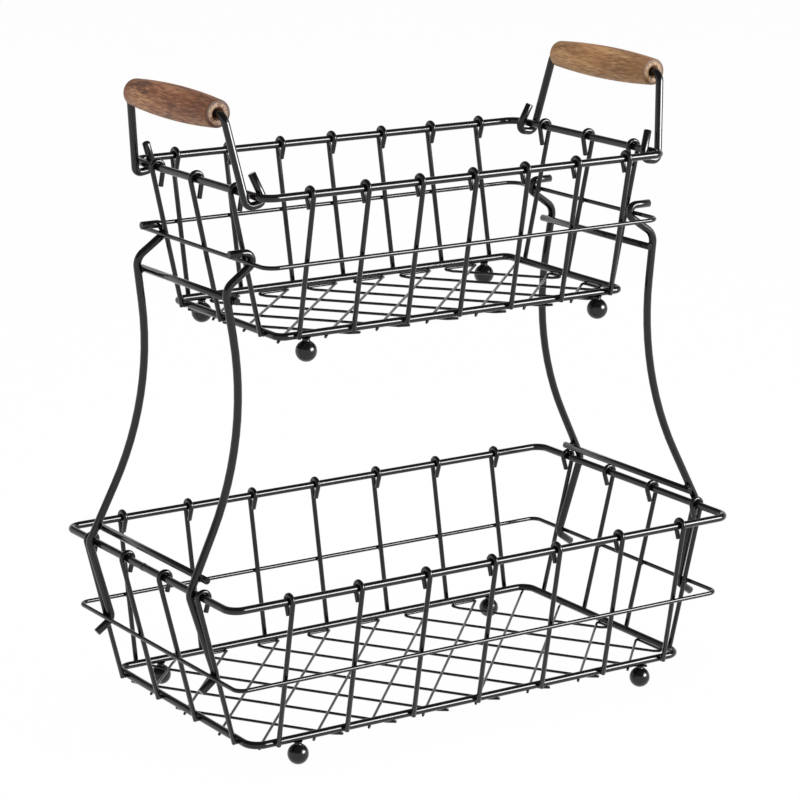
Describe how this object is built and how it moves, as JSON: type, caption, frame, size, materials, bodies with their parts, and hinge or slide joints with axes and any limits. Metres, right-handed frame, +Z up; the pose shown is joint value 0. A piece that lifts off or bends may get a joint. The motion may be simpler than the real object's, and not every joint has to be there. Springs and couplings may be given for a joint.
{
  "type": "two-tier wire basket",
  "caption": "Free-standing two-tier basket of black coated wire, the smaller basket held above the larger by curved hooked uprights, with swinging wooden-gripped handles.",
  "frame": {"origin": "on the table, under the middle of both baskets, at the level of the lowest points of the lower ball feet", "axes": "+X towards the right end with its handle, +Y towards the back, +Z up"},
  "size_m": [0.3698, 0.213, 0.3901],
  "materials": {
    "black_coat": "gloss black powder coat on steel wire",
    "red_brown_wood": "red-brown stained, turned and lacquered wood",
    "tan_wood": "tan, turned and lacquered wood"
  },
  "bodies": {
    "stand": {"lower_rim": "black_coat", "lower_hoop": "black_coat", "lower_base_frame": "black_coat", "lower_front_wires": "black_coat", "lower_back_wires": "black_coat", "lower_left_wires": "black_coat", "lower_right_wires": "black_coat", "lower_floor": "black_coat", "lower_feet": "black_coat", "upper_rim": "black_coat", "upper_hoop": "black_coat", "upper_base_frame": "black_coat", "upper_front_wires": "black_coat", "upper_back_wires": "black_coat", "upper_left_wires": "black_coat", "upper_right_wires": "black_coat", "upper_floor": "black_coat", "upper_feet": "black_coat", "left_front_upright": "black_coat", "left_back_upright": "black_coat", "right_front_upright": "black_coat", "right_back_upright": "black_coat", "left_upper_bar": "black_coat", "left_lower_bar": "black_coat", "right_upper_bar": "black_coat", "right_lower_bar": "black_coat"},
    "left_handle": {"left_bail": "black_coat"},
    "right_handle": {"right_bail": "black_coat"},
    "left_barrel": {"left_grip": "red_brown_wood"},
    "right_barrel": {"right_grip": "tan_wood"}
  },
  "joints": [
    {"name": "left_handle_swing", "type": "hinge", "parent": "stand", "child": "left_handle", "pos_m": [-0.1397, 0, 0.33465], "axis": [0, -1, 0], "range_deg": [-172, 150]},
    {"name": "right_handle_swing", "type": "hinge", "parent": "stand", "child": "right_handle", "pos_m": [0.1397, 0, 0.33465], "axis": [0, 1, 0], "range_deg": [-172, 150]},
    {"name": "left_grip_spin", "type": "hinge", "parent": "left_handle", "child": "left_barrel", "pos_m": [-0.15234, 0, 0.37993], "axis": [0, 1, 0], "continuous": true},
    {"name": "right_grip_spin", "type": "hinge", "parent": "right_handle", "child": "right_barrel", "pos_m": [0.15234, 0, 0.37993], "axis": [0, 1, 0], "continuous": true}
  ]
}
